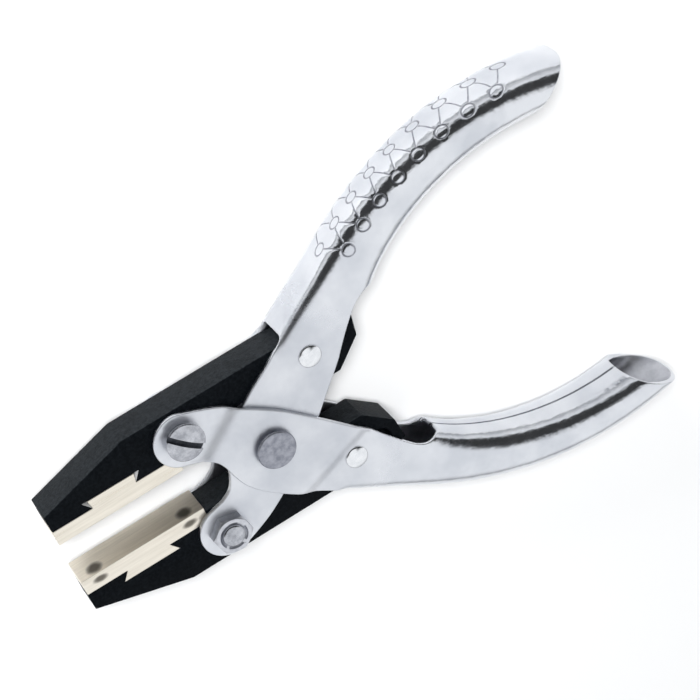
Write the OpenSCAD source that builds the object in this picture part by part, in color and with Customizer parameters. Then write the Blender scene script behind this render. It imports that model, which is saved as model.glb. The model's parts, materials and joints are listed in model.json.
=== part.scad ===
// Parallel-action pliers: two pressed-steel hand levers cross at one rivet and
// carry two flat-sided jaws. Each jaw turns on the front screw of one lever and
// is guided by a pin of the other lever in a straight slot, so both jaws stay
// parallel. Replaceable gripping bars sit in a dovetail across each jaw.
//
// The pliers lie on their back: X runs from the jaw tips to the handles, Y from
// the lower jaw to the upper jaw, Z up through the thickness. The origin is on
// the axis of the main rivet, in the plane of the bench.

/* [Linkage] */
// Distance along each lever from the main rivet to its front and rear pins
pin_r = 21; // [20.5:0.1:21.5]
// Distance of both pins from the lever's axis, towards the spine
pin_v = 0.7; // [0:0.1:1]
// Angle between each lever and the X axis, as drawn
half_open = 41; // [39:0.5:42]
// Angle between each lever and the X axis with the jaws shut
half_shut = 23.8; // [23.8:0.1:24.5]
// Largest angle between each lever and the X axis
half_max = 44; // [43:0.5:45]
// Height of the mid-plane above the bench
mid_z = 8.6; // [8.6:0.1:9.5]

/* [Jaws] */
// Thickness of both jaws along Z
jaw_w = 8.6; // [8:0.1:8.7]
// Half of the gap between the gripping faces, as drawn
half_gap = 5.43; // [5.43:0.01:6]
// Y of the flat back of the upper jaw
jaw_back = 19.7; // [19:0.1:21]
// Y of the inner edge of the upper jaw behind its bar
jaw_inner = 6.4; // [6.4:0.1:7]
// Height of the jaw above its bar at the tip
tip_h = 4.2; // [3:0.1:6]
// X of the jaw tips
tip_x = -49; // [-55:0.5:-46]
// X where the sloping nose meets the flat back
nose_x = -27.7; // [-30:0.1:-26]
// X of the end of the tail
tail_x = 27.4; // [27:0.1:28]
// Radius of the recess that clears the main rivet's spacer
recess_r = 10; // [9.8:0.1:10.2]

/* [Gripping bars] */
// Length of each bar
bar_len = 30; // [28:0.5:30]
// Thickness of each bar along Y
bar_t = 3.64; // [3:0.01:4]
// Width of the dovetail at its mouth
neck_w = 10.5; // [8:0.1:11]
// Width of the dovetail at its floor
floor_w = 13.8; // [12:0.1:14]
// Depth of the dovetail
tail_d = 2.2; // [1.8:0.1:2.6]
// X of the dovetail's centre
tail_mid_x = -34.1; // [-36:0.1:-33]
// Flare of the upper bar's narrower key, on each side
upper_flare = 0.4; // [0.2:0.1:1]

/* [Levers] */
// Thickness of the sheet steel
sheet = 1.2; // [1:0.1:1.3]
// Free gap between the sheets and what they pass
gap = 0.1; // [0.05:0.05:0.15]
// Radius of the front ears
ear_r = 6.3; // [6:0.1:7]
// Distance of the ears' centres from the lever's axis, towards the spine
ear_v = 1.25; // [0.8:0.05:1.4]
// Distance along the lever where the spine web starts
web_u = 23; // [22.5:0.5:25]
// Length of each handle's centre line, from the spine web to the end
handle_l = 75.4; // [70:0.1:80]
// Distance along the outer lever where its handle starts to curve
outer_bend_u = 36.9; // [34:0.1:40]
// Distance along the inner lever where its handle starts to curve
inner_bend_u = 39; // [34:0.1:40]
// Radius of the handles' curved centre lines
bend_r = 67.2; // [65:0.1:75]
// Half angle of the oblique cut at the end of the handle
cut_a = 4.3; // [0:0.1:5]
// Half height of the tube along Z at its end
tube_hz = 8.5; // [7:0.1:8.5]
// Width of the seam where the sheet's edges meet
seam = 0.3; // [0.1:0.1:0.6]
// Half width of the ramps beside the outer lever's raised middle
ramp = 0.6; // [0.4:0.1:1]

/* [Fasteners] */
// Radius of the main rivet's shank
rivet_r = 3; // [2.5:0.1:3.2]
// Radius of the main rivet's heads
rivet_head_r = 4.45; // [4:0.05:5]
// Radius of the spacer on the main rivet
spacer_r = 4; // [3.6:0.1:4.2]
// Radius of the front screws
screw_r = 2.5; // [2:0.1:2.5]
// Radius of the front screws' heads
head_r = 4.3; // [4:0.1:5]
// Height of the front screws' heads
head_h = 3; // [2.4:0.1:3]
// Width of the screwdriver slot
slot_w = 1.3; // [0.8:0.1:1.4]
// Depth of the screwdriver slot
slot_d = 1.5; // [1:0.1:1.8]
// Angle of the upper front screw's slot to the X axis
slot_turn = -44; // [-90:1:90]
// Height of the nuts
nut_h = 2.4; // [2:0.1:2.7]
// Width across the flats of the nuts
nut_af = 8; // [7.5:0.1:8.5]
// Height of the chamfer round the top of each nut
nut_edge = 0.5; // [0.2:0.1:0.8]
// Angle at which the tightened nuts came to rest
nut_turn = 45; // [0:1:59]
// Outer radius of the front bushes
bush_r = 3.5; // [3.2:0.1:4]
// Radius of the rear pins
pin_shank_r = 1.75; // [1.5:0.05:2]
// Radius of the rear pins' domed heads
pin_head_r = 2.6; // [2.4:0.1:3]
// Height of the rear pins' domed heads
pin_head_h = 0.8; // [0.4:0.1:1]
// Outer radius of the sleeves on the rear pins
sleeve_r = 2.5; // [2.3:0.1:2.6]

/* [Hidden] */
$fn = 64;

steel = "#d6dbe5";
black = "#23262b";
cream = "#ddd6c8";
grey = "#8d919c";

eps = 0.01;
fit = 0.05;                             // radial clearance of every shaft in its hole
front_x = -pin_r * cos(half_open) - pin_v * sin(half_open);
front_y = pin_r * sin(half_open) - pin_v * cos(half_open);
rear_x = pin_r * cos(half_open) - pin_v * sin(half_open);
rear_y = pin_r * sin(half_open) + pin_v * cos(half_open);
low_z0 = jaw_w / 2 + gap;               // inner face of the sheets beside the jaws
low_z1 = low_z0 + sheet;
high_z0 = low_z1 + gap;                 // inner face of the raised part of the outer lever
high_z1 = high_z0 + sheet;
seat_y = half_gap + bar_t;              // where each bar sits on its jaw
// Slot of each jaw, measured from its front pin towards its rear pin
slot_tilt = atan(pin_v / pin_r);
slot_near = 2 * norm([pin_r, pin_v]) * cos(half_max) - 2 * fit;
slot_far = 2 * norm([pin_r, pin_v]) * cos(half_shut) + 2 * fit;
recess_at = [-1, 2.2];
// Edge of the tail, from the inner edge of the jaw round to its back
tail_edge = [[20.4, jaw_inner], [tail_x - 0.7, 12], [tail_x, 17.2], [9, jaw_back]];
screw_len = low_z1 + mid_z;
rivet_edge = [0.9, 0.5];                // broken edge of the rivet's heads, inwards and down
crown_shape = [[1, 0.75], [0.86, 0.9], [0.55, 1]];  // screw head: parts of its radius and height
tongue_u = [web_u - 1, web_u + 3];      // reach of the sheet's tongue into the channel
tongue_v = [-4.2, 5.4];
bore_d = 60;                            // long enough to cut through everything

// Edges of the sheet beside the jaws, along (u) and across (v) the lever, v > 0 on
// the spine side. The ear is an arc.
ear_top = [for (a = [240 : -10 : 60]) [-pin_r + ear_r * cos(a), ear_v + ear_r * sin(a)]];
spine_edge = [
    [-15, 5.3], [-12.3, 5], [-9.8, 5.9], [-7.2, 7.6], [-3.7, 9.4], [0.5, 10.3], [5.5, 10.5],
    [10.5, 10.2], [16, 9.4], [web_u, 9]
];
inner_edge = [
    [web_u, -6.1], [19.5, -6.5], [14, -7.1], [8.6, -7.7], [3.5, -8.1], [-1.5, -8.4],
    [-8.5, -8], [-15, -7.1], [-20, -5.7]
];
// The open side of the channel ends in a round throat, where the seam begins.
throat = [[22, -6.2], [26, -5.3], [32, -4.2], [35.5, -4.1], [38, -4.9], [40, -6.6], [40.7, -9]];

// Bends that raise the middle of the outer lever over the inner lever
front_bend = [[-11.2, -11], [-15.5, 9]];
rear_bend = [[22.8, -11], [11, 11.5]];

// Section of the handle along its length: fraction of length, half width across the
// lever, corner radius across the lever, and corner radius along Z
half_width = [[0, 9], [0.08, 8.25], [0.17, 7.4], [0.3, 6.7], [0.6, 6.05], [1, 5.5]];
corner_v = [[0, 2.6], [0.1, 3.6], [0.25, 5.2], [0.4, 5.8], [1, 5.2]];
corner_z = [[0, 2.6], [0.1, 3], [0.3, 4.4], [0.6, 6], [1, 7.6]];
end_hw = lookup(1, half_width);
root_hz = low_z1 - fit;
tube_t = sheet - 2 * fit;
rings = 26;
corner_n = 6;
lean_from = 0.55;                       // fraction of length where the rings start to lean

// Smooth open curve through the given points, with n steps between neighbours
function smooth(points, n = 4) = let (last = len(points) - 1) [
    for (i = [0 : last - 1], k = [0 : n - 1])
        let (
            a = points[max(i - 1, 0)], b = points[i], c = points[i + 1],
            d = points[min(i + 2, last)], t = k / n
        )
        0.5 * (2 * b + (c - a) * t + (2 * a - 5 * b + 4 * c - d) * t * t
            + (3 * b - a - 3 * c + d) * t * t * t),
    points[last]
];

function ease(t) = let (c = min(max(t, 0), 1)) c * c * (3 - 2 * c);

// Point beside the centre line of a handle that starts to curve at bend_u: s along
// the line, v across it, z along Z
function on_handle(bend_u, s, v, z) = let (straight = bend_u - web_u)
    s < straight ? [web_u + s, v, z]
    : let (a = (s - straight) / bend_r * 180 / PI)
        [bend_u + (bend_r + v) * sin(a), (bend_r + v) * cos(a) - bend_r, z];

// Half of a rounded section, from the seam round to the spine, as [v, z] with z > 0
function half_section(hw, hz, rv, rz) = [
    [-hw, seam / 2],
    for (i = [0 : corner_n])
        let (a = 180 - 90 * i / corner_n) [-(hw - rv) + rv * cos(a), hz - rz + rz * sin(a)],
    for (i = [0 : corner_n])
        let (a = 90 - 90 * i / corner_n) [hw - rv + rv * cos(a), hz - rz + rz * sin(a)]
];

// Whole section of the rolled sheet, once round outside and back inside
function flip_z(points) = [for (i = [len(points) - 1 : -1 : 0]) [points[i][0], -points[i][1]]];
function sheet_section(f) =
    let (
        hw = lookup(f, half_width), hz = root_hz + (tube_hz - root_hz) * f,
        rv = lookup(f, corner_v), rz = lookup(f, corner_z),
        outer = half_section(hw, hz, rv, rz),
        inner = half_section(hw - tube_t, hz - tube_t, rv - tube_t, rz - tube_t),
        outer_all = concat(outer, flip_z(outer)), inner_all = concat(inner, flip_z(inner))
    )
    concat(outer_all, [for (i = [len(inner_all) - 1 : -1 : 0]) inner_all[i]]);

// One ring of points; towards the end the rings lean until they lie in the cut
function handle_ring(bend_u, f) =
    let (lean = ease((f - lean_from) / (1 - lean_from)) * cut_a * PI / 180 * bend_r / end_hw)
    [for (p = sheet_section(f)) on_handle(bend_u, f * handle_l + lean * p[0], p[0], p[1])];

module rolled_tube(bend_u) {
    ring = [for (i = [0 : rings]) handle_ring(bend_u, i / rings)];
    n = len(ring[0]);
    points = [for (r = ring) each r];
    sides = [
        for (i = [0 : rings - 1], k = [0 : n - 1])
            let (a = i * n + k, b = i * n + (k + 1) % n)
            each [[a, b, a + n], [b, b + n, a + n]]
    ];
    half = n / 2;
    cap = [for (k = [0 : half - 2]) each [[k, n - 1 - k, k + 1], [k + 1, n - 1 - k, n - 2 - k]]];
    end = rings * n;
    cap_end = [for (t = cap) [end + t[0], end + t[2], end + t[1]]];
    polyhedron(points, concat(sides, cap, cap_end), convexity = 8);
}

// Closed side of the handle, open towards the other lever up to the throat
module channel_and_tube(bend_u) {
    difference() {
        rolled_tube(bend_u);
        translate([0, 0, -bore_d / 2]) linear_extrude(bore_d)
            polygon(concat(smooth(throat), [
                [throat[len(throat) - 1][0], -bore_d / 2], [throat[0][0], -bore_d / 2]
            ]));
    }
}

module cheek_outline() {
    polygon(concat(ear_top, smooth(spine_edge), smooth(inner_edge)));
}

// Tongue that carries the flat sheet on into the wall of the channel
module tongue_outline() {
    translate([tongue_u[0], tongue_v[0]]) square([tongue_u[1] - tongue_u[0], tongue_v[1] - tongue_v[0]]);
}

module sheet_bores() {
    for (p = [[-pin_r, pin_v, screw_r], [0, 0, rivet_r], [pin_r, pin_v, pin_shank_r]])
        translate([p[0], p[1], 0]) cylinder(h = bore_d, r = p[2] + fit, center = true);
}

module between_bends(inset = 0) {
    polygon([
        front_bend[0] + [inset, 0], front_bend[1] + [inset, 0],
        rear_bend[1] - [inset, 0], rear_bend[0] - [inset, 0]
    ]);
}

module flat_cheek() {
    translate([0, 0, low_z0]) linear_extrude(sheet) union() {
        cheek_outline();
        tongue_outline();
    }
}

module raised_cheek() {
    translate([0, 0, low_z0]) linear_extrude(sheet) {
        difference() {
            cheek_outline();
            between_bends();
        }
        tongue_outline();
    }
    translate([0, 0, high_z0]) linear_extrude(sheet) intersection() {
        cheek_outline();
        between_bends();
    }
    translate([0, 0, low_z0]) linear_extrude(high_z1 - low_z0) intersection() {
        cheek_outline();
        difference() {
            between_bends(-ramp);
            between_bends(ramp);
        }
    }
}

// Children in the frame of one lever, as drawn
module on_inner_lever() {
    translate([0, 0, mid_z]) rotate([0, 0, half_open]) children();
}

module on_outer_lever() {
    translate([0, 0, mid_z]) mirror([0, 1, 0]) rotate([0, 0, half_open]) children();
}

module both_sides() {
    children();
    mirror([0, 0, 1]) children();
}

module inner_handle() {
    color(steel) on_inner_lever() {
        difference() {
            both_sides() flat_cheek();
            sheet_bores();
        }
        channel_and_tube(inner_bend_u);
    }
}

module outer_handle() {
    color(steel) on_outer_lever() {
        difference() {
            both_sides() raised_cheek();
            sheet_bores();
        }
        channel_and_tube(outer_bend_u);
    }
}

module dovetail(neck, floor_width, depth) {
    translate([tail_mid_x, seat_y]) polygon([
        [-neck / 2, -eps], [neck / 2, -eps], [neck / 2, 0], [floor_width / 2, depth],
        [-floor_width / 2, depth], [-neck / 2, 0]
    ]);
}

// Side view of the upper jaw, without its bore and slot
module jaw_outline() {
    difference() {
        polygon([
            [tip_x, seat_y], [tip_x + bar_len, seat_y], [tip_x + bar_len, jaw_inner],
            each tail_edge, [nose_x, jaw_back], [tip_x, seat_y + tip_h]
        ]);
        dovetail(neck_w, floor_w, tail_d);
        translate(recess_at) circle(r = recess_r);
    }
}

module jaw() {
    translate([0, 0, mid_z]) difference() {
        translate([0, 0, -jaw_w / 2]) linear_extrude(jaw_w) jaw_outline();
        translate([front_x, front_y, 0]) {
            cylinder(h = bore_d, r = bush_r + fit, center = true);
            rotate([0, 0, slot_tilt]) {
                for (x = [slot_near, slot_far])
                    translate([x, 0, 0]) cylinder(h = bore_d, r = sleeve_r + fit, center = true);
                translate([slot_near, -sleeve_r - fit, -bore_d / 2])
                    cube([slot_far - slot_near, 2 * (sleeve_r + fit), bore_d]);
            }
        }
    }
}

module upper_jaw() { color(black) jaw(); }
module lower_jaw() { color(black) mirror([0, 1, 0]) jaw(); }

module bar(neck, floor_width) {
    translate([0, 0, mid_z - jaw_w / 2]) linear_extrude(jaw_w) {
        translate([tip_x, half_gap]) square([bar_len, bar_t]);
        dovetail(neck, floor_width, tail_d - fit);
    }
}

module upper_bar() {
    color(cream) bar(neck_w - 2 * fit, neck_w - 2 * fit + 2 * upper_flare);
}

module lower_bar() {
    color(cream) mirror([0, 1, 0]) bar(neck_w - 2 * fit, floor_w - 3 * fit);
}

// Round head with a broken edge, standing on z = 0
module rivet_head(r, h) {
    cylinder(h = h - rivet_edge[1], r = r);
    translate([0, 0, h - rivet_edge[1]])
        cylinder(h = rivet_edge[1], r1 = r, r2 = r - rivet_edge[0]);
}

module main_rivet() {
    color(grey) translate([0, 0, mid_z]) {
        cylinder(h = 2 * high_z1, r = rivet_r, center = true);
        both_sides() translate([0, 0, high_z1]) rivet_head(rivet_head_r, mid_z - high_z1);
    }
}

module sleeve(outer_r, inner_r, length) {
    difference() {
        cylinder(h = length, r = outer_r, center = true);
        cylinder(h = bore_d, r = inner_r, center = true);
    }
}

module pivot_spacer() {
    color(grey) translate([0, 0, mid_z]) sleeve(spacer_r, rivet_r + fit, 2 * low_z0 - gap);
}

// Shallow dome of radius r and height h, standing on z = 0
module dome(r, h) {
    ball_r = (r * r + h * h) / (2 * h);
    intersection() {
        translate([0, 0, h - ball_r]) sphere(r = ball_r, $fn = 96);
        cylinder(h = h, r = r);
    }
}

// Slotted screw along +Z, with the underside of its rounded head at z = 0
module slotted_screw(length) {
    crown = [for (c = crown_shape) [c[0] * head_r, c[1] * head_h]];
    difference() {
        union() {
            translate([0, 0, -length]) cylinder(h = length, r = screw_r);
            cylinder(h = crown[0][1], r = crown[0][0]);
            for (i = [0, 1])
                translate([0, 0, crown[i][1]])
                    cylinder(h = crown[i + 1][1] - crown[i][1], r1 = crown[i][0], r2 = crown[i + 1][0]);
        }
        translate([-head_r - 1, -slot_w / 2, head_h - slot_d])
            cube([2 * head_r + 2, slot_w, slot_d + 1]);
    }
}

// Hexagon nut with chamfered corners, standing on z = 0
module hex_nut() {
    corner_r = nut_af / 2 / cos(30);
    difference() {
        intersection() {
            cylinder(h = nut_h, r = corner_r, $fn = 6);
            union() {
                cylinder(h = nut_h - nut_edge, r = corner_r + eps);
                translate([0, 0, nut_h - nut_edge])
                    cylinder(h = nut_edge, r1 = corner_r + eps, r2 = nut_af / 2);
            }
        }
        translate([0, 0, -eps]) cylinder(h = nut_h + 1, r = screw_r + fit);
    }
}

module upper_front_screw() {
    color(grey) translate([front_x, front_y, mid_z + low_z1]) rotate([0, 0, slot_turn])
        slotted_screw(screw_len);
}

module upper_front_nut() {
    color(steel) translate([front_x, front_y, mid_z - low_z1]) mirror([0, 0, 1])
        rotate([0, 0, nut_turn]) hex_nut();
}

module upper_front_bush() {
    color(grey) translate([front_x, front_y, mid_z])
        sleeve(bush_r, screw_r + fit, 2 * low_z0);
}

module lower_front_screw() {
    color(grey) translate([front_x, -front_y, mid_z - low_z1]) mirror([0, 0, 1])
        rotate([0, 0, -slot_turn]) slotted_screw(screw_len);
}

module lower_front_nut() {
    color(steel) translate([front_x, -front_y, mid_z + low_z1]) rotate([0, 0, nut_turn]) hex_nut();
}

module lower_front_bush() {
    color(grey) translate([front_x, -front_y, mid_z])
        sleeve(bush_r, screw_r + fit, 2 * low_z0);
}

// Rear pin of a lever, through both sheets, with a low dome on each end
module rear_pin(y) {
    color(steel) translate([rear_x, y, mid_z]) {
        cylinder(h = 2 * low_z1, r = pin_shank_r, center = true);
        both_sides() translate([0, 0, low_z1]) dome(pin_head_r, pin_head_h);
    }
}

module rear_sleeve(y) {
    color(grey) translate([rear_x, y, mid_z]) sleeve(sleeve_r, pin_shank_r + fit, 2 * low_z0);
}

module upper_rear_pin() { rear_pin(rear_y); }
module upper_rear_sleeve() { rear_sleeve(rear_y); }
module lower_rear_pin() { rear_pin(-rear_y); }
module lower_rear_sleeve() { rear_sleeve(-rear_y); }

outer_handle();
inner_handle();
upper_jaw();
lower_jaw();
upper_bar();
lower_bar();
main_rivet();
pivot_spacer();
upper_front_screw();
upper_front_nut();
upper_front_bush();
lower_front_screw();
lower_front_nut();
lower_front_bush();
upper_rear_pin();
upper_rear_sleeve();
lower_rear_pin();
lower_rear_sleeve();
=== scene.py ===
"""Parallel-action pliers: looks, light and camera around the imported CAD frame.

Shapes are worked out in millimetres, with Z from the mid-plane between the two cheeks
of each lever, and scaled to metres when a mesh is made.
"""

import json
import math

import bmesh
import bpy
from mathutils import Matrix, Vector
from mathutils.geometry import delaunay_2d_cdt

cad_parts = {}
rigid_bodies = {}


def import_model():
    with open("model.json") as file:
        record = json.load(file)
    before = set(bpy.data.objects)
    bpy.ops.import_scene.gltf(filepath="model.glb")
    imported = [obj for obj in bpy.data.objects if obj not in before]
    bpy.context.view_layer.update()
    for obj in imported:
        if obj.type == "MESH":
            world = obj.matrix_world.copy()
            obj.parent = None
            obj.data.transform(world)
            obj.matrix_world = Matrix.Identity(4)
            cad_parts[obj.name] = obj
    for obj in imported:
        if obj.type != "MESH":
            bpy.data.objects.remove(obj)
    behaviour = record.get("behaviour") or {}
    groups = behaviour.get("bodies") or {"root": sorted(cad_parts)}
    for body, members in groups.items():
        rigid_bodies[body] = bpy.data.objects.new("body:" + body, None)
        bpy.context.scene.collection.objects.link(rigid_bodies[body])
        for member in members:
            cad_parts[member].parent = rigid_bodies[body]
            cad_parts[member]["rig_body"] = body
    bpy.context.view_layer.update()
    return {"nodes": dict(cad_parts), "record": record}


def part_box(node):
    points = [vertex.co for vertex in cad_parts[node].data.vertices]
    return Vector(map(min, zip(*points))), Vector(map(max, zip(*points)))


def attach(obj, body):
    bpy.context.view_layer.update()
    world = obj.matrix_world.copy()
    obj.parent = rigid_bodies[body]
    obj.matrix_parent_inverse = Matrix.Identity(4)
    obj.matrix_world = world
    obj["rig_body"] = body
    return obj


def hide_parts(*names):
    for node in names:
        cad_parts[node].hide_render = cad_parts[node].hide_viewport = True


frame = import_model()

MM = 0.001
MID_Z = (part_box("upper_jaw")[0].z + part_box("upper_jaw")[1].z) / 2 / MM

# The levers, as the CAD model has them
OPEN_ANGLE = math.radians(41)
PIN_R, PIN_V = 21.0, 0.7
SHEET, GAP = 1.2, 0.1
LOW_Z = 5.6
LIFT = SHEET + GAP
EAR_R, EAR_V = 6.3, 1.25
WEB_U = 23.0
HANDLE_L, BEND_R = 75.4, 67.2
BEND_U = {"inner_handle": 39.0, "outer_handle": 36.9}
CUT_LEAN = math.radians(4.3) * BEND_R / 5.5
TUBE_HZ = 8.5
SEAM = 0.3
HALF_WIDTH = [(0, 9), (0.08, 8.25), (0.17, 7.4), (0.3, 6.7), (0.6, 6.05), (1, 5.5)]
CORNER_V = [(0, 2.6), (0.1, 3.6), (0.25, 5.2), (0.4, 5.6), (1, 5.2)]
CORNER_Z = [(0, 2.6), (0.1, 3.0), (0.3, 4.4), (0.6, 6.0), (1, 7.6)]
SPINE_EDGE = [(-15, 5.3), (-12.3, 5), (-9.8, 5.9), (-7.2, 7.6), (-3.7, 9.4), (0.5, 10.3), (5.5, 10.5),
              (10.5, 10.2), (16, 9.4), (21.5, 9)]
INNER_EDGE = [(19.5, -6.5), (14, -7.1), (8.6, -7.7), (3.5, -8.1), (-1.5, -8.4), (-8.5, -8), (-15, -7.1),
              (-20, -5.7)]
THROAT = [(22.5, -6.1), (26, -5.3), (32, -4.2), (35.5, -4.1), (38, -4.9), (40, -6.6)]
THROAT_END = 40.7
FRONT_BEND = [(-11.2, -11), (-15.5, 9)]
REAR_BEND = [(22.8, -11), (11, 11.5)]
RAMP = 2.1
ROOT_BLEND = 4.5
CUT_FROM = 0.55
TUBE_RISE = 0.15
WEB_CORNER = [(22.3, 9.1), (22.8, 9.5), (23, 10.2)]
HOLES = ((-PIN_R, PIN_V, 2.6), (0, 0, 3.1), (PIN_R, PIN_V, 1.85))
EDGE_R = 0.32
GRID_S, GRID_T = 0.8, 0.6


# ---------------------------------------------------------------- curves and tables

def smooth_table(table, x):
    """Value at x of a smooth curve through the (x, y) pairs of a table."""
    last = len(table) - 1
    x = min(max(x, table[0][0]), table[last][0])
    i = max(k for k in range(last) if table[k][0] <= x)

    def slope(k):
        a, b = table[max(k - 1, 0)], table[min(k + 1, last)]
        return (b[1] - a[1]) / (b[0] - a[0])

    (x0, y0), (x1, y1) = table[i], table[i + 1]
    h = x1 - x0
    t = (x - x0) / h
    return ((2 * t ** 3 - 3 * t ** 2 + 1) * y0 + (t ** 3 - 2 * t ** 2 + t) * h * slope(i)
            + (3 * t ** 2 - 2 * t ** 3) * y1 + (t ** 3 - t ** 2) * h * slope(i + 1))


def smooth_line(points, step=0.6):
    """Open curve through the given points, resampled at about the given step."""
    out = []
    last = len(points) - 1
    for i in range(last):
        a, b = Vector(points[max(i - 1, 0)]), Vector(points[i])
        c, d = Vector(points[i + 1]), Vector(points[min(i + 2, last)])
        n = max(2, round((c - b).length / step))
        for k in range(n):
            t = k / n
            out.append(0.5 * (2 * b + (c - a) * t + (2 * a - 5 * b + 4 * c - d) * t * t
                              + (3 * b - a - 3 * c + d) * t ** 3))
    out.append(Vector(points[last]))
    return out


def straight_line(a, b, step=0.6):
    """Points from a up to, and without, b."""
    a, b = Vector(a), Vector(b)
    n = max(1, round((b - a).length / step))
    return [a.lerp(b, k / n) for k in range(n)]


def ease(t):
    t = min(max(t, 0), 1)
    return t * t * (3 - 2 * t)


# ---------------------------------------------------------------- the pressed levers

class Section:
    """Half section of a lever at s along the handle: t runs round the sheet, 0 at the
    middle of the flat cheek, positive towards the spine, negative towards the seam."""

    def __init__(self, s):
        f = min(max(s / HANDLE_L, 0), 1)
        self.hw = smooth_table(HALF_WIDTH, f)
        self.hz = LOW_Z + (TUBE_HZ - LOW_Z) * (1 + TUBE_RISE) * f * f / (f + TUBE_RISE)
        self.rv = smooth_table(CORNER_V, f)
        self.rz = smooth_table(CORNER_Z, f)
        a, b = self.rv, self.rz
        self.flat = self.hw - a
        self.corner = math.pi / 4 * (3 * (a + b) - math.sqrt((3 * a + b) * (a + 3 * b)))
        self.top = self.flat + self.corner + self.hz - b

    def point(self, t):
        side = 1 if t >= 0 else -1
        r = abs(t) - self.flat
        if r <= 0:
            return t, self.hz
        if r < self.corner:
            a = math.pi / 2 * r / self.corner
            return side * (self.flat + self.rv * math.sin(a)), self.hz - self.rz * (1 - math.cos(a))
        return side * self.hw, self.hz - self.rz - (r - self.corner)

    def t_at(self, v):
        """The t of the point of the sheet at v across the lever."""
        side = 1 if v >= 0 else -1
        r = (abs(v) - self.flat) / self.rv
        if r <= 0:
            return v
        return side * (self.flat + self.corner * math.asin(min(r, 1)) / (math.pi / 2))


ROOT = Section(0)
SECTIONS = {}


def section(s):
    key = round(max(s, 0), 3)
    if key not in SECTIONS:
        SECTIONS[key] = Section(key)
    return SECTIONS[key]


def beside_line(point, line):
    """Signed distance of a point from a line, positive towards larger u."""
    a, b = Vector(line[0]), Vector(line[1])
    d = (b - a).normalized()
    return (Vector(point) - a).dot(Vector((d.y, -d.x)))


def lever_point(lever, s, tau):
    """Place of a point of the sheet's outer face in the lever's own axes. s is the
    distance from the web's front edge along the lever. tau runs round the sheet from the
    seam edge of the top cheek over the spine to the seam edge of the bottom cheek."""
    sec = section(s)
    below = tau > sec.top
    t = 2 * sec.top - tau if below else tau
    if s < 0:
        flat = (t, ROOT.hz)
        bent = ROOT.point(t)
        w = ease(1 + s / ROOT_BLEND)
        v, z = flat[0] + (bent[0] - flat[0]) * w, flat[1] + (bent[1] - flat[1]) * w
        if lever == "outer_handle":
            inside = min(beside_line((WEB_U + s, v), FRONT_BEND), -beside_line((WEB_U + s, v), REAR_BEND))
            z += LIFT * ease((inside + RAMP) / (2 * RAMP))
        u = WEB_U + s
    else:
        v, z = sec.point(t)
        along = s + ease((s / HANDLE_L - CUT_FROM) / (1 - CUT_FROM)) * CUT_LEAN * v
        straight = BEND_U[lever] - WEB_U
        if along < straight:
            u = WEB_U + along
        else:
            a = (along - straight) / BEND_R
            u = BEND_U[lever] + (BEND_R + v) * math.sin(a)
            v = (BEND_R + v) * math.cos(a) - BEND_R
    return Vector((u, v, -z if below else z))


def to_world(lever, p):
    c, s = math.cos(OPEN_ANGLE), math.sin(OPEN_ANGLE)
    x, y = p.x * c - p.y * s, p.x * s + p.y * c
    return Vector((x, y if lever == "inner_handle" else -y, p.z + MID_Z)) * MM


def sheet_surface(lever, s, tau, depth):
    """A point at the given depth below the outer face, in the lever's own axes."""
    p = lever_point(lever, s, tau)
    if depth == 0:
        return p
    e = 0.02
    ds = lever_point(lever, s + e, tau) - lever_point(lever, s - e, tau)
    dt = lever_point(lever, s, tau + e) - lever_point(lever, s, tau - e)
    return p + dt.cross(ds).normalized() * depth


def lever_outline():
    """Outline of the developed sheet as (s, tau) points, once round."""
    top = ROOT.top
    ear = [(-PIN_R + EAR_R * math.cos(math.radians(a)), EAR_V + EAR_R * math.sin(math.radians(a)))
           for a in range(240, 59, -6)]
    spine = [tuple(p) for p in smooth_line(SPINE_EDGE)]
    inner = [tuple(p) for p in smooth_line(INNER_EDGE)]
    front = [(u - WEB_U, v) for u, v in ear + spine + WEB_CORNER]
    web_edge = [tuple(p) for p in straight_line((0, 10.8), (0, top))]
    throat = []
    for p in smooth_line(THROAT):
        s = p[0] - WEB_U
        throat.append((s, section(s).t_at(p[1])))
    s_end = THROAT_END - WEB_U
    first = throat[-1]
    for k in range(1, 9):
        a = math.pi / 2 * k / 8
        seam_t = -section(s_end).top + SEAM / 2
        throat.append((first[0] + (s_end - first[0]) * math.sin(a),
                       first[1] + (seam_t - first[1]) * (1 - math.cos(a))))
    n = round((HANDLE_L - s_end) / 0.8)
    seam = []
    for k in range(1, n):
        s = s_end + (HANDLE_L - s_end) * k / n
        seam.append((s, -section(s).top + SEAM / 2))
    end_top = section(HANDLE_L).top
    end_half = [tuple(p) for p in straight_line((HANDLE_L, -end_top + SEAM / 2), (HANDLE_L, end_top))]
    upper = front + web_edge
    # From the ear along the inner edge, the throat and the seam to the end's spine
    one_side = [(u - WEB_U, v) for u, v in reversed(inner)] + throat + seam + end_half

    def mirrored(points):
        return [(s, 2 * section(s).top - t) for s, t in points]

    outline = one_side + [(HANDLE_L, end_top)] + mirrored(list(reversed(one_side)))
    outline += mirrored(upper) + [(0, top)] + list(reversed(upper))
    return [Vector(p) for p in outline]


def clean_loop(points, least=0.12):
    out = []
    for p in points:
        if not out or (p - out[-1]).length > least:
            out.append(p)
    if (out[0] - out[-1]).length < least:
        out.pop()
    return out


def loop_normals(loop):
    """Unit normals that point into a counter-clockwise loop."""
    n = len(loop)
    out = []
    for i in range(n):
        d = (loop[(i + 1) % n] - loop[i - 1]).normalized()
        out.append(Vector((-d.y, d.x)))
    return out


def area(loop):
    return sum(a.x * b.y - a.y * b.x for a, b in zip(loop, loop[1:] + loop[:1])) / 2


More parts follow.
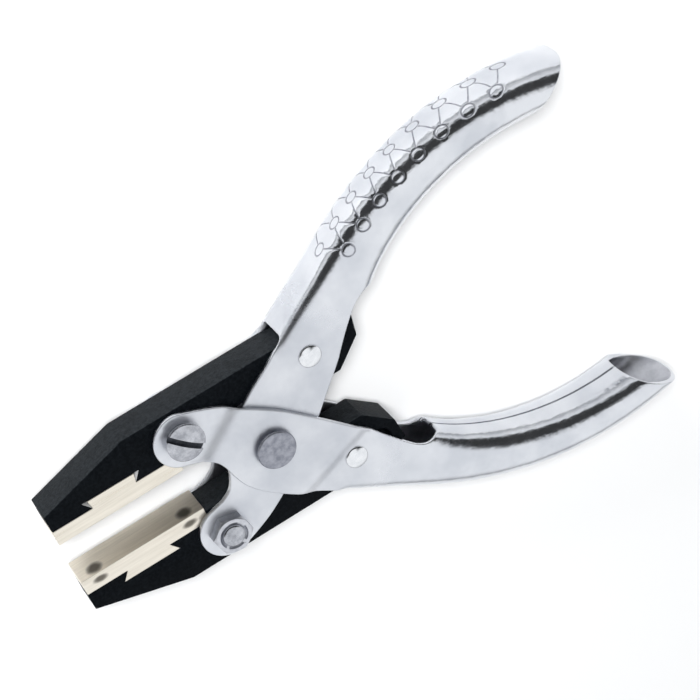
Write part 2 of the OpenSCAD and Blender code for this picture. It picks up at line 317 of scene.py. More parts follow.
def round_hole(u, v, r, below, n=40):
    loop = []
    for k in range(n):
        a = -2 * math.pi * k / n
        s, t = u - WEB_U + r * math.cos(a), v + r * math.sin(a)
        loop.append(Vector((s, 2 * ROOT.top - t if below else t)))
    return loop if not below else list(reversed(loop))


def inside_loop(p, loop):
    odd = False
    for a, b in zip(loop, loop[1:] + loop[:1]):
        if (a.y > p.y) != (b.y > p.y) and p.x < (b.x - a.x) * (p.y - a.y) / (b.y - a.y) + a.x:
            odd = not odd
    return odd


def build_lever(lever, marks=None):
    """One pressing of sheet with rounded edges. marks gives the depth of the engraving at
    a point and the extra points that the engraving needs."""
    outer = clean_loop(lever_outline())
    if area(outer) < 0:
        outer.reverse()
    holes = []
    for below in (False, True):
        for u, v, r in HOLES:
            hole = round_hole(u, v, r, below)
            if area(hole) > 0:
                hole.reverse()
            holes.append(hole)
    loops = [outer] + holes
    normals = [loop_normals(loop) for loop in loops]
    inset = [[p + n * EDGE_R for p, n in zip(loop, norm)] for loop, norm in zip(loops, normals)]

    points, edges_of = [], []
    for loop in inset:
        edges_of.append(list(range(len(points), len(points) + len(loop))))
        points += loop
    fixed = len(points)
    depth_at, extra = marks if marks else (lambda p: 0.0, [])
    points += extra
    low_s, high_s = min(p.x for p in outer), max(p.x for p in outer)
    low_t, high_t = min(p.y for p in outer), max(p.y for p in outer)
    # Fixed points go into cells, so that grid points keep clear of them
    cell = 0.5
    taken = {}
    for k, p in enumerate(points):
        taken.setdefault((int(p.x // cell), int(p.y // cell)), []).append((p, 0.33 if k < fixed else 0.2))
    edge_lists = [list(zip(loop, loop[1:] + loop[:1])) for loop in inset]

    def free(p):
        cx, cy = int(p.x // cell), int(p.y // cell)
        for i in (-1, 0, 1):
            for j in (-1, 0, 1):
                for q, near in taken.get((cx + i, cy + j), ()):
                    if (p - q).length < near:
                        return False
        return True

    n_s = round((high_s - low_s) / GRID_S)
    n_t = round((high_t - low_t) / GRID_T)
    for j in range(n_t + 1):
        y = low_t + GRID_T * j
        crossings = [[], []]
        for k, edges in enumerate(edge_lists):
            for a, b in edges:
                if (a.y > y) != (b.y > y):
                    crossings[k > 0].append((b.x - a.x) * (y - a.y) / (b.y - a.y) + a.x)
        for i in range(n_s + 1):
            x = low_s + GRID_S * (i + 0.5 * (j % 2))
            if sum(c > x for c in crossings[0]) % 2 and not sum(c > x for c in crossings[1]) % 2:
                p = Vector((x, y))
                if free(p):
                    points.append(p)
    result = delaunay_2d_cdt(points, [], edges_of, 1, 1e-5)
    verts, faces = result[0], result[2]

    def in_hole(face):
        c = sum((verts[i] for i in face), Vector((0, 0))) / len(face)
        return any(inside_loop(c, loop) for loop in inset[1:])

    faces = [f for f in faces if not in_hole(f)]
    mesh_points, mesh_faces = [], []

    def add(p):
        mesh_points.append(to_world(lever, p))
        return len(mesh_points) - 1

    depths = [depth_at(p) for p in verts]
    engraved = [sum(depths[i] for i in f) / len(f) > 0.3 * GROOVE_DEPTH for f in faces]
    for depth, flip in ((0.0, False), (SHEET, True)):
        inside_from = len(mesh_faces)
        base = len(mesh_points)
        for p, d in zip(verts, depths):
            add(sheet_surface(lever, p.x, p.y, depth if depth else d))
        for f in faces:
            ids = [base + i for i in f]
            mesh_faces.append(ids[::-1] if flip else ids)
    inside_to = len(mesh_faces)
    n_all = len(verts)
    key = {}
    for i, p in enumerate(verts):
        key.setdefault((round(p.x, 3), round(p.y, 3)), i)
    steps = 4
    for loop, norm, ring in zip(loops, normals, inset):
        rows = [[key[(round(p.x, 3), round(p.y, 3))] for p in ring]]
        profile = []
        for k in range(1, steps + 1):
            a = math.pi / 2 * k / steps
            profile.append((EDGE_R * (1 - math.sin(a)), EDGE_R * (1 - math.cos(a))))
        profile += [(i, SHEET - d) for i, d in reversed(profile)]
        for shift, depth in profile:
            row = []
            for p, n in zip(loop, norm):
                q = p + n * shift
                row.append(add(sheet_surface(lever, q.x, q.y, depth)))
            rows.append(row)
        rows[-1] = [i + n_all for i in rows[0]]
        for row_a, row_b in zip(rows, rows[1:]):
            m = len(row_a)
            for k in range(m):
                mesh_faces.append([row_a[k], row_a[(k + 1) % m], row_b[(k + 1) % m], row_b[k]])
    mesh = bpy.data.meshes.new(lever + "_pressing")
    mesh.from_pydata(mesh_points, [], mesh_faces)
    for polygon in mesh.polygons:
        if inside_from <= polygon.index < inside_to:
            polygon.material_index = 1
        elif polygon.index < inside_from and engraved[polygon.index]:
            polygon.material_index = 2
    bm = bmesh.new()
    bm.from_mesh(mesh)
    bmesh.ops.remove_doubles(bm, verts=bm.verts, dist=1e-7)
    loose = [v for v in bm.verts if not v.link_faces]
    bmesh.ops.delete(bm, geom=loose, context="VERTS")
    bmesh.ops.recalc_face_normals(bm, faces=bm.faces)
    for f in bm.faces:
        f.smooth = True
    open_edges = sum(1 for e in bm.edges if not e.is_manifold)
    print(lever, "faces", len(bm.faces), "open edges", open_edges)
    bm.to_mesh(mesh)
    bm.free()
    obj = bpy.data.objects.new(lever + "_pressing", mesh)
    bpy.context.scene.collection.objects.link(obj)
    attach(obj, frame["nodes"][lever]["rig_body"])
    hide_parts(lever)
    return obj


# ---------------------------------------------------------------- engraved net of the grip

RING_R, RING_GROOVE, LINK_GROOVE, GROOVE_DEPTH = 1.3, 0.22, 0.15, 0.14
RING_START, RING_PITCH = 21.9, 5.75
ROW_FIRST, ROW_STEP, ROW_DRIFT = 7.6, 6.6, 0.055
LINK_GAP = 0.35


def net_rows():
    """Centres of the rings, row by row from the front cheek over the spine."""
    rows = []
    for row in range(3):
        start = RING_START - RING_PITCH / 2 * (row % 2)
        centres = []
        for k in range(8 + row % 2):
            s = start + RING_PITCH * k
            from_spine = ROW_FIRST - ROW_STEP * row - ROW_DRIFT * (s - RING_START)
            centres.append(Vector((s, section(s).top - from_spine)))
        rows.append(centres)
    return rows


def net_links(rows):
    """Short lines between neighbouring rings of neighbouring rows."""
    links = []
    for row_a, row_b in zip(rows, rows[1:]):
        for a in row_a:
            for b in row_b:
                if abs(a.x - b.x) < 0.75 * RING_PITCH:
                    d = (b - a).normalized() * (RING_R + LINK_GAP)
                    links.append((a + d, b - d))
    return links


def groove(distance, half_width):
    if distance >= half_width:
        return 0
    return GROOVE_DEPTH * math.cos(math.pi / 2 * distance / half_width) ** 2


def engraved_net():
    """Depth of the engraving at a point of the sheet, and the points it needs."""
    rows = net_rows()
    rings = [c for row in rows for c in row]
    links = net_links(rows)
    extra = []
    for c in rings:
        for offset in (-1, -0.5, 0, 0.5, 1):
            r = RING_R + offset * RING_GROOVE
            for k in range(32):
                a = 2 * math.pi * (k + offset) / 32
                extra.append(c + Vector((math.cos(a), math.sin(a))) * r)
    for a, b in links:
        side = (b - a).normalized().orthogonal() * LINK_GROOVE
        n = round((b - a).length / 0.25)
        for k in range(n + 1):
            extra += [a.lerp(b, k / n) + side * offset for offset in (-1, 0, 1)]

    def depth_at(p):
        depth = 0
        for c in rings:
            if abs(c.x - p.x) < 2:
                depth = max(depth, groove(abs((p - c).length - RING_R), RING_GROOVE))
        for a, b in links:
            if abs((a.x + b.x) / 2 - p.x) < 3:
                t = min(max((p - a).dot(b - a) / (b - a).length_squared, 0), 1)
                depth = max(depth, groove((p - a.lerp(b, t)).length, LINK_GROOVE))
        return depth

    return depth_at, extra


# ---------------------------------------------------------------- camera, light, floor

def add_camera():
    back = Vector((-0.1813, 0.5502, 0.8151)).normalized()
    right = Vector((0.8405, -0.3436, 0.4189))
    right = (right - back * right.dot(back)).normalized()
    up = back.cross(right)
    look_at = Vector((0.0250, 0.0064, MID_Z * MM)) - right * 0.00013 + up * 0.00017
    data = bpy.data.cameras.new("camera")
    data.lens = 120
    data.sensor_width = 36
    data.clip_start = 0.01
    camera = bpy.data.objects.new("camera", data)
    place = Matrix((right, up, back)).transposed().to_4x4()
    place.translation = look_at + back * 0.498
    camera.matrix_world = place
    bpy.context.scene.collection.objects.link(camera)
    bpy.context.scene.camera = camera


FLOOR_WHITE = (0.88, 0.885, 0.89, 1)
SEEN_STRENGTH, FLOOR_STRENGTH = 1.06, 0.30


def nodes_of(material):
    material.use_nodes = True
    tree = material.node_tree
    shader = next(n for n in tree.nodes if n.type == "BSDF_PRINCIPLED")
    return tree, shader


def add_node(tree, kind, links=None, **values):
    """Adds a node, sets its properties, and links or sets its inputs by name or number."""
    node = tree.nodes.new(kind)
    for key, value in values.items():
        setattr(node, key, value)
    for key, value in (links or {}).items():
        socket = node.inputs[key]
        if hasattr(value, "is_output"):
            tree.links.new(value, socket)
        else:
            socket.default_value = value
    return node


CARD_HEIGHT, CARD_HALF, CARD_BLUR = 0.68, 0.20, 0.10


def smooth_range(tree, value, low, high, to_low, to_high):
    return add_node(tree, "ShaderNodeMapRange", {"Value": value, "From Min": low, "From Max": high,
                    "To Min": to_low, "To Max": to_high}, interpolation_type="SMOOTHSTEP").outputs[0]


def combined(tree, operation, first, second):
    return add_node(tree, "ShaderNodeMath", {0: first, 1: second}, operation=operation).outputs[0]


def add_world():
    """White studio. What shines also sees a dark card above the bench's far side and a
    dimmer horizon."""
    world = bpy.data.worlds.new("studio")
    bpy.context.scene.world = world
    world.use_nodes = True
    tree = world.node_tree
    background = tree.nodes["Background"]
    direction = add_node(tree, "ShaderNodeTexCoord").outputs["Generated"]
    parts = add_node(tree, "ShaderNodeSeparateXYZ", {0: direction}).outputs
    off_card = combined(tree, "ABSOLUTE", combined(tree, "SUBTRACT", parts["Z"], CARD_HEIGHT), 0)
    beside = smooth_range(tree, off_card, CARD_HALF, CARD_HALF + CARD_BLUR, 0.05, 1)
    before = smooth_range(tree, parts["Y"], -0.15, 0.1, 1, 0)
    card = combined(tree, "MAXIMUM", beside, before)
    horizon = smooth_range(tree, parts["Z"], 0.0, 0.4, 0.45, 1)
    seen = combined(tree, "MULTIPLY", combined(tree, "MULTIPLY", card, horizon), SEEN_STRENGTH)
    glossy = add_node(tree, "ShaderNodeLightPath").outputs["Is Glossy Ray"]
    strength = add_node(tree, "ShaderNodeMix", {0: glossy, 2: FLOOR_STRENGTH, 3: seen}, data_type="FLOAT")
    tree.links.new(strength.outputs[0], background.inputs["Strength"])
    background.inputs["Color"].default_value = (0.97, 0.985, 1.0, 1)


def add_area_light(name, place, target, size, power):
    data = bpy.data.lights.new(name, "AREA")
    data.shape = "DISK"
    data.size = size
    data.energy = power
    light = bpy.data.objects.new(name, data)
    light.visible_glossy = False
    light.location = place
    light.rotation_euler = (Vector(target) - Vector(place)).to_track_quat("-Z", "Y").to_euler()
    bpy.context.scene.collection.objects.link(light)


def add_stage():
    bpy.ops.mesh.primitive_plane_add(size=6, location=(0, 0, -0.0002))
    floor = bpy.context.object
    floor.name = "floor"
    material = bpy.data.materials.new("floor")
    shader = nodes_of(material)[1]
    shader.inputs["Base Color"].default_value = FLOOR_WHITE
    shader.inputs["Roughness"].default_value = 0.9
    floor.data.materials.append(material)
    add_world()
    add_area_light("key", (-0.25, 1.0, 0.22), (0, 0, 0), 0.5, 6)
    add_area_light("fill", (0.5, -0.7, 0.9), (0, 0, 0), 0.6, 1)
    add_area_light("front", (-0.2, 0.6, 0.9), (0, 0, 0), 0.35, 13.5)
    bpy.context.scene.view_settings.view_transform = "Standard"


# ---------------------------------------------------------------- materials

def noise(tree, vector, scale, detail=3.0, rough=0.5):
    return add_node(tree, "ShaderNodeTexNoise", {"Vector": vector, "Scale": scale, "Detail": detail,
                    "Roughness": rough}).outputs["Fac"]


def place_of(tree, scale=(1, 1, 1)):
    coordinates = add_node(tree, "ShaderNodeTexCoord").outputs["Object"]
    return add_node(tree, "ShaderNodeMapping", {"Vector": coordinates, "Scale": scale}).outputs["Vector"]


def ranged(tree, value, low, high, to_low, to_high):
    return add_node(tree, "ShaderNodeMapRange", {"Value": value, "From Min": low, "From Max": high,
                    "To Min": to_low, "To Max": to_high}).outputs[0]


def mixed(tree, amount, first, second):
    return add_node(tree, "ShaderNodeMix", {"Factor": amount, "A": first, "B": second},
                    data_type="RGBA").outputs["Result"]


def bumped(tree, shader, height, strength, distance):
    bump = add_node(tree, "ShaderNodeBump", {"Height": height, "Strength": strength, "Distance": distance})
    tree.links.new(bump.outputs["Normal"], shader.inputs["Normal"])
    return bump


def handle_steel():
    """Satin nickel plate: polished tubes, duller cheeks with faint scratches."""
    material = bpy.data.materials.new("handle_steel")
    tree, shader = nodes_of(material)
    shader.inputs["Metallic"].default_value = 1
    place = place_of(tree)
    cloud = noise(tree, place, 90, 4)
    tint = mixed(tree, ranged(tree, cloud, 0.35, 0.65, 0, 1), (0.61, 0.63, 0.675, 1), (0.745, 0.76, 0.795, 1))
    tree.links.new(tint, shader.inputs["Base Color"])
    away = add_node(tree, "ShaderNodeVectorMath", {0: place}, operation="LENGTH").outputs["Value"]
    polish = ranged(tree, away, 0.024, 0.042, 0.40, 0.15)
    fine = noise(tree, place_of(tree, (1, 1, 0.3)), 900, 3, 0.6)
    varied = add_node(tree, "ShaderNodeMath", {0: ranged(tree, fine, 0.3, 0.7, -0.05, 0.05), 1: polish},
                      operation="ADD").outputs[0]
    tree.links.new(varied, shader.inputs["Roughness"])
    scratches = noise(tree, place_of(tree, (0.12, 1, 1)), 2600, 2, 0.6)
    scratched = bumped(tree, shader, scratches, 0.4, 0.00004)
    waves = combined(tree, "MULTIPLY", noise(tree, place, 170, 3, 0.6),
                     smooth_range(tree, away, 0.03, 0.05, 0.15, 1))
    waved = bumped(tree, shader, waves, 0.45, 0.0004)
    tree.links.new(scratched.outputs["Normal"], waved.inputs["Normal"])
    return material


def handle_inside():
    """The unpolished inner face of the pressed sheet."""
    return plain_metal("handle_inside", (0.40, 0.41, 0.45), (0.60, 0.61, 0.65), (0.38, 0.52), 260, 0.4,
                       0.0001)


def jaw_black():
    """Black oxide over a fine machined grain. Painted sheen: faces turned mostly along ±Y are painted greyer,
    standing in for the light they catch.
    """
    material = bpy.data.materials.new("jaw_black")
    tree, shader = nodes_of(material)
    place = place_of(tree)
    grain = noise(tree, place, 1500, 4, 0.7)
    tint = mixed(tree, ranged(tree, grain, 0.4, 0.7, 0, 1), (0.0012, 0.0018, 0.0026, 1),
                 (0.0055, 0.0068, 0.0085, 1))
    # Painted sheen: a greyer tint for faces turned along ±Y, standing in for light falling on them
    sheen_tint = mixed(tree, ranged(tree, grain, 0.35, 0.7, 0, 1), (0.007, 0.0085, 0.010, 1),
                 (0.023, 0.026, 0.0295, 1))
    facing = add_node(tree, "ShaderNodeNewGeometry").outputs["Normal"]
    facing = add_node(tree, "ShaderNodeSeparateXYZ", {0: facing}).outputs["Y"]
    # Painted sheen mask: 1 on faces turned along ±Y, where the greyer painted tint goes
    painted_sheen_mask = smooth_range(tree, combined(tree, "ABSOLUTE", facing, 0), 0.4, 0.7, 0, 1)
    tree.links.new(mixed(tree, painted_sheen_mask, tint, sheen_tint), shader.inputs["Base Color"])
    shader.inputs["Specular IOR Level"].default_value = 0.04
    tree.links.new(ranged(tree, grain, 0.3, 0.7, 0.42, 0.62), shader.inputs["Roughness"])
    bumped(tree, shader, grain, 0.7, 0.0002)
    return material


# The gripping bars: their face, their seat on the jaw, and the spots near their ends
HALF_GAP, BAR_T = 5.43, 3.64
SEAT_Y = HALF_GAP + BAR_T
SPOT_INSET, SPOT_Z, SPOT_R = 4.0, 2.1, 2.1
DENT_LONG, DENT_SHORT, DENT_DEPTH = 2.0, 0.9, 0.12
DENT_Y = HALF_GAP + 1.62


def oval(tree, centre, radii, cloud):
    """Fuzzy oval, near 1 in the middle and 0 outside. An axis with no centre doesn't matter."""
    parts = add_node(tree, "ShaderNodeSeparateXYZ", {0: place_of(tree)}).outputs
    total = cloud
    for axis, middle, radius in zip("XYZ", centre, radii):
        if middle is None:
            continue
        part = combined(tree, "DIVIDE", combined(tree, "SUBTRACT", parts[axis], middle), radius * MM)
        total = combined(tree, "ADD", total, combined(tree, "MULTIPLY", part, part))
    return smooth_range(tree, total, 0.1, 1.2, 0.9, 0)


def bar_steel():
    """Warm ground steel with streaks along the bar. Fuzzy dark spots lie near the ends of
    the gripping faces and, on the lower bar, of the sides."""
    material = bpy.data.materials.new("bar_steel")
    tree, shader = nodes_of(material)
    shader.inputs["Metallic"].default_value = 1
    streaks = noise(tree, place_of(tree, (0.06, 1, 1)), 1100, 4, 0.65)
    tint = mixed(tree, ranged(tree, streaks, 0.35, 0.65, 0, 1), (0.76, 0.705, 0.61, 1),
                 (0.90, 0.845, 0.745, 1))
    cloud = ranged(tree, noise(tree, place_of(tree), 700, 3), 0, 1, -0.25, 0.25)
    facing = add_node(tree, "ShaderNodeNewGeometry").outputs["Normal"]
    facing = add_node(tree, "ShaderNodeSeparateXYZ", {0: facing}).outputs
    low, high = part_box("lower_bar")
    for x in (low.x + SPOT_INSET * MM, high.x - SPOT_INSET * MM):
        on_grip = oval(tree, (x, None, (MID_Z + SPOT_Z) * MM), (SPOT_R, 1, SPOT_R), cloud)
        on_side = oval(tree, (x, -DENT_Y * MM, None), (DENT_LONG, DENT_SHORT, 1), cloud)
        for spot, axis in ((on_grip, "Y"), (on_side, "Z")):
            flat = combined(tree, "ABSOLUTE", facing[axis], 0)
            spot = combined(tree, "MULTIPLY", spot, smooth_range(tree, flat, 0.6, 0.9, 0, 1))
            tint = mixed(tree, spot, tint, (0.09, 0.08, 0.065, 1))
    tree.links.new(tint, shader.inputs["Base Color"])
    on_grip_face = smooth_range(tree, combined(tree, "ABSOLUTE", facing["Y"], 0), 0.6, 0.9, 0, 0.22)
    rough = combined(tree, "ADD", ranged(tree, streaks, 0.3, 0.7, 0.26, 0.42), on_grip_face)
    tree.links.new(rough, shader.inputs["Roughness"])
    bumped(tree, shader, streaks, 0.35, 0.00005)
    return material


def plain_metal(name, dark, light, rough, scale=300, bump=0.2, depth=0.00005, metallic=1):
    material = bpy.data.materials.new(name)
    tree, shader = nodes_of(material)
    shader.inputs["Metallic"].default_value = metallic
    cloud = noise(tree, place_of(tree), scale, 4, 0.6)
    tint = mixed(tree, ranged(tree, cloud, 0.35, 0.65, 0, 1), (*dark, 1), (*light, 1))
    tree.links.new(tint, shader.inputs["Base Color"])
    tree.links.new(ranged(tree, cloud, 0.3, 0.7, rough[0], rough[1]), shader.inputs["Roughness"])
    bumped(tree, shader, cloud, bump, depth)
    return material


MATERIALS = {
    "handle_steel": handle_steel(),
    "handle_inside": handle_inside(),
    "engraving": plain_metal("engraving", (0.26, 0.27, 0.31), (0.44, 0.45, 0.49), (0.3, 0.45), 900),
    # Painted shade: near-black colour for the walls and floor of the screw slots, standing in for the shade
    # inside them
    "slot_painted_shade": plain_metal("slot_painted_shade", (0.035, 0.04, 0.05), (0.10, 0.105, 0.12), (0.45, 0.6), 800),
    "bare_walls": plain_metal("bare_walls", (0.66, 0.67, 0.70), (0.84, 0.85, 0.87), (0.5, 0.65), 900,
                              metallic=0.15),
    "jaw_black": jaw_black(),
    "bar_steel": bar_steel(),
    "rivet_steel": plain_metal("rivet_steel", (0.23, 0.24, 0.28), (0.40, 0.41, 0.46), (0.3, 0.45), 700, 0.8,
                               0.0001),
    "screw_steel": plain_metal("screw_steel", (0.33, 0.34, 0.37), (0.56, 0.57, 0.61), (0.14, 0.28), 500, 0.5,
                               0.0001),
    "nut_steel": plain_metal("nut_steel", (0.50, 0.51, 0.55), (0.66, 0.67, 0.71), (0.30, 0.42), 600),
    "pin_steel": plain_metal("pin_steel", (0.74, 0.755, 0.78), (0.84, 0.85, 0.87), (0.08, 0.16), 500, 0.1),
}


# ---------------------------------------------------------------- pieces from the CAD nodes

def slot_of(node):
    return next(p["material_slot"] for p in frame["record"]["subparts"] if p["node"] == node)


def finish_piece(obj, node):
    for polygon in obj.data.polygons:
        polygon.use_smooth = True
    obj.data.materials.clear()
    obj.data.materials.append(MATERIALS[slot_of(node)])
    bpy.context.view_layer.update()
    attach(obj, frame["nodes"][node]["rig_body"])
    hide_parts(node)
    return obj


def applied(obj):
    """Applies every modifier of obj."""
    depsgraph = bpy.context.evaluated_depsgraph_get()
    mesh = bpy.data.meshes.new_from_object(obj.evaluated_get(depsgraph))
    obj.modifiers.clear()
    obj.data = mesh
    return obj


def sharp_edges(mesh, angle=35):
    mesh.set_sharp_from_angle(angle=math.radians(angle))


def add_cut(obj, tool_bm):
    """Adds a modifier that cuts a solid out of obj, and returns the cutter."""
    mesh = bpy.data.meshes.new("tool")
    tool_bm.to_mesh(mesh)
    tool_bm.free()
    cutter = bpy.data.objects.new("tool", mesh)
    bpy.context.scene.collection.objects.link(cutter)
    modifier = obj.modifiers.new("cut", "BOOLEAN")
    modifier.operation = "DIFFERENCE"
    modifier.object = cutter
    modifier.solver = "EXACT"
    return cutter


def add_bevel(obj, width, segments, angle):
    bevel = obj.modifiers.new("bevel", "BEVEL")
    bevel.width = width
    bevel.segments = segments
    bevel.limit_method = "ANGLE"
    bevel.angle_limit = math.radians(angle)
    return bevel


def subtract(obj, tool_bm):
    """Cuts a solid, made in metres, out of obj."""
    cutter = add_cut(obj, tool_bm)
    bpy.context.view_layer.update()
    applied(obj)
    bpy.data.objects.remove(cutter)


def softened(node, width, cuts=()):
    """A copy of a CAD node with its edges broken, less the solids in cuts."""
    source = frame["nodes"][node]
    mesh = bpy.data.meshes.new(node + "_finished")
    bm = bmesh.new()
    bm.from_mesh(source.data)
    bmesh.ops.remove_doubles(bm, verts=bm.verts, dist=1e-6)
    bmesh.ops.dissolve_limit(bm, angle_limit=math.radians(1), verts=bm.verts, edges=bm.edges)
    bm.to_mesh(mesh)
    bm.free()
    obj = bpy.data.objects.new(node + "_finished", mesh)
    bpy.context.scene.collection.objects.link(obj)
    add_bevel(obj, width * MM, 3, 30).miter_outer = "MITER_ARC"
    applied(obj)
    for tool_bm in cuts:
        subtract(obj, tool_bm)
    finish_piece(obj, node)
    sharp_edges(obj.data)
    return obj


def lathed(profile, segments=96):
    """Solid of revolution about Z through the (r, z) points, from axis to axis."""
    bm = bmesh.new()
    rows = []
    for r, z in profile:
        if r == 0:
            rows.append([bm.verts.new((0, 0, z))] * segments)
            continue
        rows.append([bm.verts.new((r * math.cos(2 * math.pi * k / segments),
                                   r * math.sin(2 * math.pi * k / segments), z)) for k in range(segments)])
    for low, high in zip(rows, rows[1:]):
        for k in range(segments):
            ring = [low[k], low[(k + 1) % segments], high[(k + 1) % segments], high[k]]
            corners = [v for n, v in enumerate(ring) if v not in ring[:n]]
            if len(corners) > 2:
                bm.faces.new(corners)
    bmesh.ops.recalc_face_normals(bm, faces=bm.faces)
    return bm


def arc(r0, z0, r1, z1, n=6):
    """Quarter ellipse from an upright wall at (r0, z0) to a flat top at (r1, z1)."""
    return [(r1 + (r0 - r1) * math.cos(math.pi / 2 * k / n), z0 + (z1 - z0) * math.sin(math.pi / 2 * k / n))
            for k in range(n + 1)]


def dome(r, z, height, n=10):
    """Shallow dome from its rim at (r, z) to the axis."""
    ball = (r * r + height * height) / (2 * height)
    rim = math.asin(r / ball)
    return [(ball * math.sin(rim * (1 - k / n)), z + height - ball * (1 - math.cos(rim * (1 - k / n))))
            for k in range(n)] + [(0, z + height)]


def placed(bm, node, x, y, z, turn=0.0, flip=False):
    """Turns, places and scales a solid made round the Z axis, in millimetres from the mid-plane."""
    matrix = Matrix.Translation((x, y, z)) @ Matrix.Diagonal((1, 1, -1 if flip else 1, 1))
    matrix = Matrix.Scale(MM, 4) @ Matrix.Translation((0, 0, MID_Z)) @ matrix @ Matrix.Rotation(turn, 4, "Z")
    bmesh.ops.transform(bm, matrix=matrix, verts=bm.verts)
    bmesh.ops.recalc_face_normals(bm, faces=bm.faces)
    mesh = bpy.data.meshes.new(node + "_finished")
    bm.to_mesh(mesh)
    bm.free()
    obj = bpy.data.objects.new(node + "_finished", mesh)
    bpy.context.scene.collection.objects.link(obj)
    finish_piece(obj, node)
    sharp_edges(obj.data, 40)
    return obj


def minus_box(bm, low, high):
    """bm without the box between two corners, with its edges broken."""
    source = bpy.data.meshes.new("solid")
    bm.to_mesh(source)
    bm.free()
    solid = bpy.data.objects.new("solid", source)
    tool = bmesh.new()
    bmesh.ops.create_cube(tool, size=1)
    middle = (Vector(low) + Vector(high)) / 2
    size = Vector(high) - Vector(low)
    matrix = Matrix.Translation(middle) @ Matrix.Diagonal((*size, 1))
    bmesh.ops.transform(tool, matrix=matrix, verts=tool.verts)
    bpy.context.scene.collection.objects.link(solid)
    cutter = add_cut(solid, tool)
    add_bevel(solid, 0.09, 2, 50)
    bpy.context.view_layer.update()
    applied(solid)
    out = bmesh.new()
    out.from_mesh(solid.data)
    for obj in (solid, cutter):
        bpy.data.objects.remove(obj)
    return out


FRONT = (-PIN_R * math.cos(OPEN_ANGLE) - PIN_V * math.sin(OPEN_ANGLE),
         PIN_R * math.sin(OPEN_ANGLE) - PIN_V * math.cos(OPEN_ANGLE))
REAR = (PIN_R * math.cos(OPEN_ANGLE) - PIN_V * math.sin(OPEN_ANGLE),
        PIN_R * math.sin(OPEN_ANGLE) + PIN_V * math.cos(OPEN_ANGLE))
HIGH_Z = LOW_Z + LIFT
SCREW_R, HEAD_R, HEAD_BASE_R, HEAD_H, HEAD_WALL = 2.5, 4.3, 3.5, 3.0, 2.25
SLOT_W, SLOT_D, SLOT_TURN = 1.3, 1.5, math.radians(-44)
PIN_SHANK_R, PIN_HEAD_R, PIN_HEAD_H = 1.75, 2.6, 0.8
RIVET_R, RIVET_HEAD_R, RIVET_BASE_R = 3.0, 4.45, 3.55


def recolour(obj, material, chosen):
    """Gives a second material to the faces whose centre, in millimetres from the
    mid-plane, is chosen."""
    obj.data.materials.append(MATERIALS[material])
    for polygon in obj.data.polygons:
        if chosen(Vector(polygon.center) / MM - Vector((0, 0, MID_Z))):
            polygon.material_index = 1


def build_screw(node, y, flip):
    """Slotted screw with a domed end and a round head."""
    end = -(LOW_Z + MID_Z)
    tip = dome(SCREW_R - 0.15, 0.1, 0.35)
    profile = [(r, end + 0.45 - z) for r, z in reversed(tip)] + [(SCREW_R, end + 0.5)]
    profile += [(SCREW_R, 0), (HEAD_BASE_R, 0), (HEAD_BASE_R, 0.2), (HEAD_R, HEAD_WALL - 0.6)]
    profile += [(HEAD_R, HEAD_WALL - 0.1)]
    profile += [(HEAD_R - 0.1, HEAD_WALL)]
    profile += dome(HEAD_R - 0.25, HEAD_WALL + 0.02, HEAD_H - HEAD_WALL - 0.02)
    bm = minus_box(lathed(profile), (-6, -SLOT_W / 2, HEAD_H - SLOT_D), (6, SLOT_W / 2, 6))
    turn = -SLOT_TURN if flip else SLOT_TURN
    screw = placed(bm, node, FRONT[0], y, -LOW_Z if flip else LOW_Z, turn, flip)
    across = Vector((-math.sin(turn), math.cos(turn), 0))
    slot_top = LOW_Z + HEAD_H - 0.35
    # Painted shade: the slot's walls and floor get the near-black slot material, standing in for the shade
    # inside the slot
    recolour(screw, "slot_painted_shade", lambda p: abs((p - Vector((FRONT[0], y, 0))).dot(across)) < SLOT_W / 2 + 0.02
             and LOW_Z + HEAD_H - SLOT_D - 0.05 < (-p.z if flip else p.z) < slot_top)


def build_rivet():
    """Rivet with heads that are rounded at the rim and slightly dished."""
    top = MID_Z
    head = [(RIVET_BASE_R, HIGH_Z), (RIVET_HEAD_R, HIGH_Z + 1.0)]
    head += arc(RIVET_HEAD_R, top - 0.65, RIVET_HEAD_R - 0.5, top - 0.2, 5)[1:]
    head += [(3.3, top - 0.2), (2.6, top - 0.26), (1.2, top - 0.3), (0, top - 0.31)]
    back_head = [(RIVET_HEAD_R - 0.1, HIGH_Z), (RIVET_HEAD_R, HIGH_Z + 0.1)]
    back_head += arc(RIVET_HEAD_R, top - 0.5, RIVET_HEAD_R - 0.9, top, 5) + [(0, top)]
    profile = [(r, -z) for r, z in reversed(back_head)] + [(RIVET_R, -HIGH_Z), (RIVET_R, HIGH_Z)] + head
    placed(lathed(profile), "main_rivet", 0, 0, 0)


def build_pin(node, y):
    head = [(PIN_HEAD_R - 0.12, LOW_Z), (PIN_HEAD_R, LOW_Z + 0.14)]
    head += dome(PIN_HEAD_R - 0.06, LOW_Z + 0.22, PIN_HEAD_H - 0.22)
    profile = [(r, -z) for r, z in reversed(head)] + [(PIN_SHANK_R, -LOW_Z), (PIN_SHANK_R, LOW_Z)] + head
    placed(lathed(profile, 72), node, REAR[0], y, 0)


COUNTERSINK_R, COUNTERSINK_DEPTH = 3.2, 0.45
TAIL_X, TAIL_NECK, TAIL_FLOOR, TAIL_DEPTH, TAIL_Z = -34.1, 10.5, 13.8, 2.2, 3.5


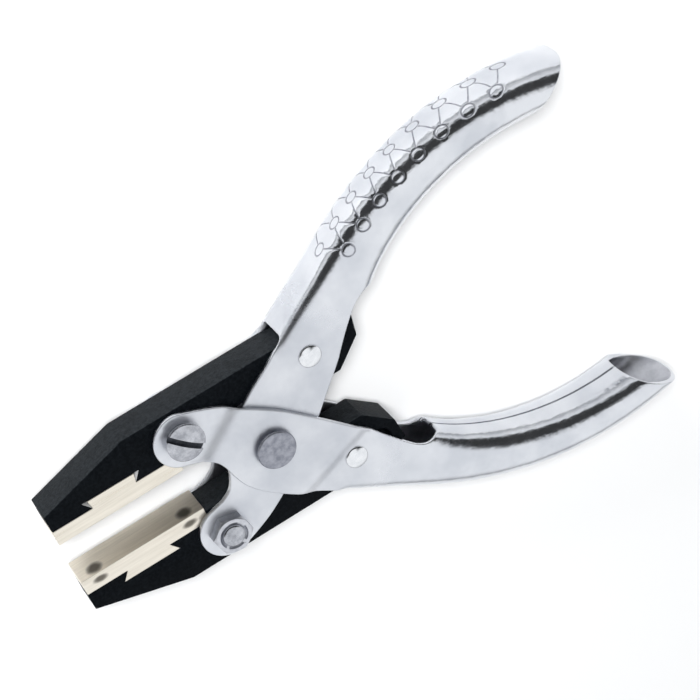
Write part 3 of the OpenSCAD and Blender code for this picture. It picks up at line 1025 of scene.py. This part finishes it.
def oval_dents(bar):
    """Shallow oval dents on both sides of a bar, near each end."""
    low, high = (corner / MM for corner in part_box(bar))
    side = 1 if low.y > 0 else -1
    tools = []
    for x in (low.x + SPOT_INSET, high.x - SPOT_INSET):
        for z in (low.z, high.z):
            tool = bmesh.new()
            bmesh.ops.create_uvsphere(tool, u_segments=40, v_segments=20, radius=MM)
            shape = Matrix.Diagonal((DENT_LONG, DENT_SHORT, 2 * DENT_DEPTH, 1))
            place = Vector((x, side * DENT_Y, z + (DENT_DEPTH if z == high.z else -DENT_DEPTH)))
            bmesh.ops.transform(tool, matrix=Matrix.Translation(place * MM) @ shape, verts=tool.verts)
            tools.append(tool)
    return tools


def in_dovetail(p):
    """Whether a face's centre lies on a wall of a jaw's dovetail."""
    off = abs(p.x - TAIL_X)
    return (TAIL_NECK / 2 - 0.2 < off < TAIL_FLOOR / 2 + 0.2 and SEAT_Y + 0.1 < abs(p.y) < SEAT_Y + TAIL_DEPTH
            and abs(p.z) < TAIL_Z)


def countersink(node, y):
    """Cone that widens the mouth of a nut's bore on its outer face."""
    low, high = (corner / MM - Vector((0, 0, MID_Z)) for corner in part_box(node))
    outward = 1 if high.z > 0 else -1
    face = high.z if outward > 0 else low.z
    deep = face - outward * COUNTERSINK_DEPTH
    out = face + outward * 0.1
    tool = lathed([(0, deep), (SCREW_R + 0.06, deep), (COUNTERSINK_R, face), (COUNTERSINK_R, out), (0, out)])
    matrix = Matrix.Scale(MM, 4) @ Matrix.Translation((FRONT[0], y, MID_Z))
    bmesh.ops.transform(tool, matrix=matrix, verts=tool.verts)
    bmesh.ops.recalc_face_normals(tool, faces=tool.faces)
    return [tool]


add_camera()
add_stage()
for lever in ("inner_handle", "outer_handle"):
    pressing = build_lever(lever, engraved_net() if lever == "inner_handle" else None)
    pressing.data.materials.append(MATERIALS["handle_steel"])
    pressing.data.materials.append(MATERIALS["handle_inside"])
    pressing.data.materials.append(MATERIALS["engraving"])
build_screw("upper_front_screw", FRONT[1], False)
build_screw("lower_front_screw", -FRONT[1], True)
build_rivet()
build_pin("upper_rear_pin", REAR[1])
build_pin("lower_rear_pin", -REAR[1])
for jaw in ("upper_jaw", "lower_jaw"):
    recolour(softened(jaw, 0.22), "bare_walls", in_dovetail)
softened("upper_bar", 0.12)
softened("lower_bar", 0.12, cuts=oval_dents("lower_bar"))
softened("upper_front_nut", 0.12, cuts=countersink("upper_front_nut", FRONT[1]))
softened("lower_front_nut", 0.12, cuts=countersink("lower_front_nut", -FRONT[1]))
for name, node in frame["nodes"].items():
    node.data.materials.clear()
    node.data.materials.append(MATERIALS[slot_of(name)])
